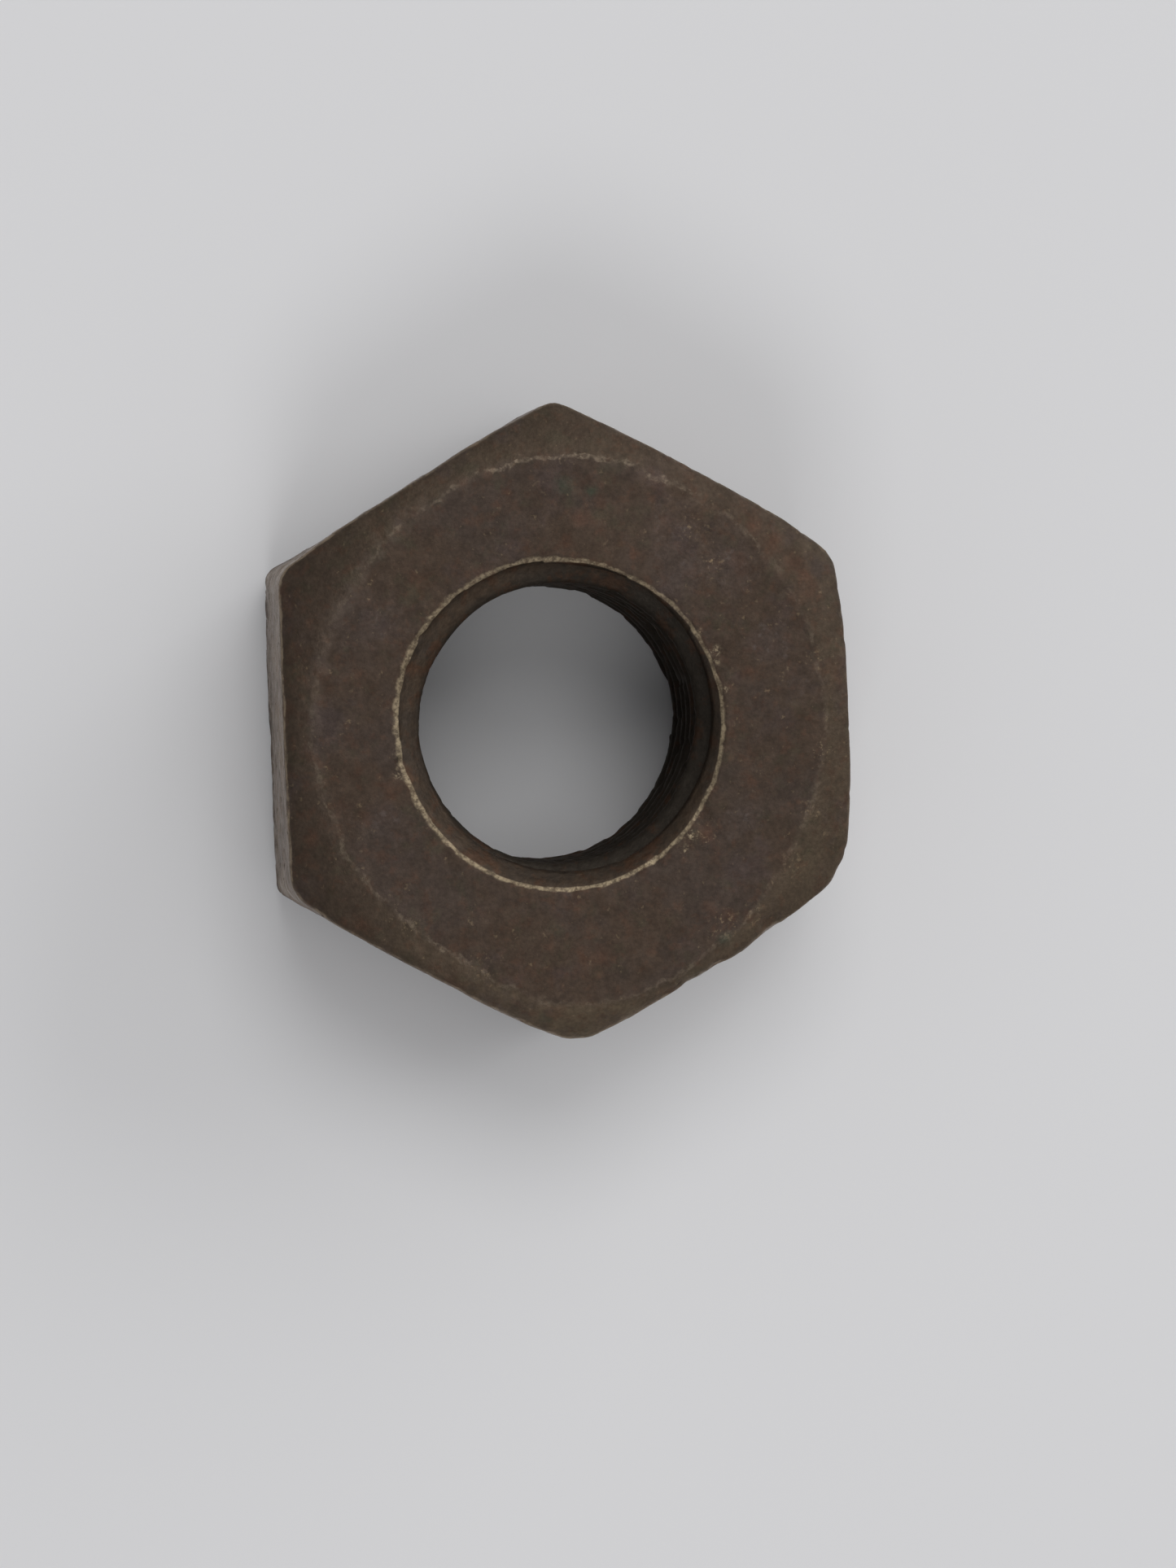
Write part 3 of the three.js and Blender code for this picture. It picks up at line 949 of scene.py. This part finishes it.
def oxidised_steel():
    """Dark brown oxide: faintly mottled, rusty in small patches, bare along worn edges, with painted
    light and shade.
    """
    s = Surface("oxidised_steel")
    # Whether a point is low down, on the flats or in the hole, from 0 to 1
    height = s.node("ShaderNodeSeparateXYZ", {0: s.place}).outputs["Z"]
    low = s.step(height, 6.0 * MM, 13.0 * MM, 1.0, 0.0)
    flat = s.step(s.mark("from_edge"), -0.20, 0.35)
    in_hole = s.step(s.mark("from_rim"), -0.12, 0.0, 1.0, 0.0)
    pits = flat_pits(s, flat)
    dark = grime_and_painted_shade(s, flat, low, height, pits)
    scratches = flat_scratches(s, flat)
    rubbed = rubbed_metal(s, flat, low, scratches)
    rim = rim_line(s)
    face_line, haze = face_lines(s)
    outer_line = s.times(outer_edge_line_and_highlight(s), s.fade(low, 0.65, 0.35))

    # Dirt in pits and scuffs, and painted shade along the ragged lower edge
    colour = s.mix(dark, oxide_colour(s, flat, low), GRIME_AND_PAINTED_SHADE)
    # Painted sheen on the faces and chamfers, painted reflection on the flats
    colour = s.shade(colour, s.mark("painted_sheen_and_reflection"))
    colour = s.shade(colour, s.blotches(0.8, 4, 0.3, 0.7, 0.84, 1.12, detail=5, roughness=0.7))
    colour = s.shade(colour, s.blotches(0.22, 17, 0.3, 0.7, 0.86, 1.14, detail=2))
    colour = s.mix(bare_flecks(s), colour, BARE_FLECK)
    colour = s.mix(rubbed, colour, BARE_FLAT)
    colour = s.mix(s.times(haze, HAZE_SHARE), colour, BARE_HAZE)
    colour = s.mix(s.times(face_line, FACE_EDGE_SHARE), colour, BARE_FACE_EDGE)
    # Bare metal and a painted highlight along the outer edges
    colour = s.mix(outer_line, colour, OUTER_EDGE_BARE_AND_HIGHLIGHT)
    colour = s.mix(in_hole, colour, hole_colour(s))
    colour = s.mix(s.times(rim, RIM_SHARE), colour, BARE_RIM)

    roughness = s.blotches(0.9, 12, 0.3, 0.7, 0.50, 0.66, detail=4)
    roughness = s.minus(roughness, s.times(s.larger(rim, face_line), 0.15))
    roughness = s.minus(roughness, s.times(flat, 0.20))
    roughness = s.minus(roughness, s.times(rubbed, 0.15))
    roughness = s.plus(roughness, s.times(dark, 0.45))
    normal = s.bump(s.noise(0.9, 14, detail=5, roughness=0.65), 0.08)
    normal = s.bump(s.noise(0.32, 13, detail=4, roughness=0.7), 0.05, normal=normal)
    normal = s.bump(s.larger(pits, scratches), -0.05, strength=0.8, normal=normal)

    s.feed(s.shader.inputs["Base Color"], colour)
    s.feed(s.shader.inputs["Roughness"], roughness)
    s.feed(s.shader.inputs["Normal"], normal)
    s.feed(s.shader.inputs["Metallic"], s.fade(dark, 0.55, 0.1))
    s.shader.inputs["Specular IOR Level"].default_value = SHEEN
    s.shader.inputs["Specular Tint"].default_value = SHEEN_TINT
    return s.material


def pale_floor():
    s = Surface("pale_floor")
    s.shader.inputs["Base Color"].default_value = (0.78, 0.78, 0.79, 1)
    s.shader.inputs["Roughness"].default_value = 0.6
    s.shader.inputs["Specular IOR Level"].default_value = 0.2
    return s.material


# ================================================================ scene

# Half the floor's side, in millimetres
FLOOR_HALF = 600

# Round soft lights facing the nut: azimuth, elevation, distance in metres, half-width as an
# angle seen from the nut, and radiance
LIGHTS = {
    "ceiling": (86, 65, 1.5, 12, 4.1),
    "far_ceiling": (262, 55, 1.5, 11, 4.3),
    "overhead": (35, 80, 1.6, 16, 1.3),
    "window": (34, 18, 1.5, 30, 1.6),
}
# The strength and tone of the light from all round
ROOM_LIGHT = 0.30
ROOM_TONE = (0.98, 0.98, 1.0, 1)

# The camera's place in millimetres, its turns about X, Y and Z in degrees, and its lens on 36 mm
# wide film
CAMERA_PLACE = (-36.7, 3.48, 442.2)
CAMERA_TURNS = (-0.746, -5.175, -2.229)
CAMERA_LENS = 168
FILM_WIDTH = 36


def add_floor():
    half = FLOOR_HALF * MM
    data = bpy.data.meshes.new("floor")
    corners = [(-half, -half, 0), (half, -half, 0), (half, half, 0), (-half, half, 0)]
    data.from_pydata(corners, [], [(0, 1, 2, 3)])
    floor = bpy.data.objects.new("floor", data)
    bpy.context.scene.collection.objects.link(floor)
    data.materials.append(pale_floor())


def add_light(name, azimuth, elevation, distance, spread, radiance):
    turn, lift = math.radians(azimuth), math.radians(elevation)
    level = math.cos(lift)
    towards = Vector((level * math.cos(turn), level * math.sin(turn), math.sin(lift)))
    radius = distance * math.tan(math.radians(spread))
    data = bpy.data.lights.new(name, "AREA")
    data.shape = "DISK"
    data.size = 2 * radius
    data.energy = radiance * (math.pi * radius) ** 2
    light = bpy.data.objects.new(name, data)
    light.location = towards * distance
    light.rotation_euler = towards.to_track_quat("Z", "Y").to_euler()
    bpy.context.scene.collection.objects.link(light)


def add_camera():
    """A long lens almost straight above, leaning about five degrees towards -X."""
    data = bpy.data.cameras.new("camera")
    data.sensor_width = FILM_WIDTH
    data.lens = CAMERA_LENS
    camera = bpy.data.objects.new("camera", data)
    camera.location = Vector(CAMERA_PLACE) * MM
    camera.rotation_euler = [math.radians(angle) for angle in CAMERA_TURNS]
    bpy.context.scene.collection.objects.link(camera)
    bpy.context.scene.camera = camera


def light_the_scene():
    """Soft daylight from the right, ceiling panels and a little light from all round."""
    world = bpy.data.worlds.new("studio")
    world.use_nodes = True
    background = world.node_tree.nodes["Background"]
    background.inputs["Color"].default_value = ROOM_TONE
    background.inputs["Strength"].default_value = ROOM_LIGHT
    bpy.context.scene.world = world
    for name, settings in LIGHTS.items():
        add_light(name, *settings)
    bpy.context.scene.view_settings.view_transform = "Standard"


nut = build_nut()
nut.data.materials.append(oxidised_steel())
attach(nut, "root")
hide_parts("nut_body")
add_floor()
add_camera()
light_the_scene()
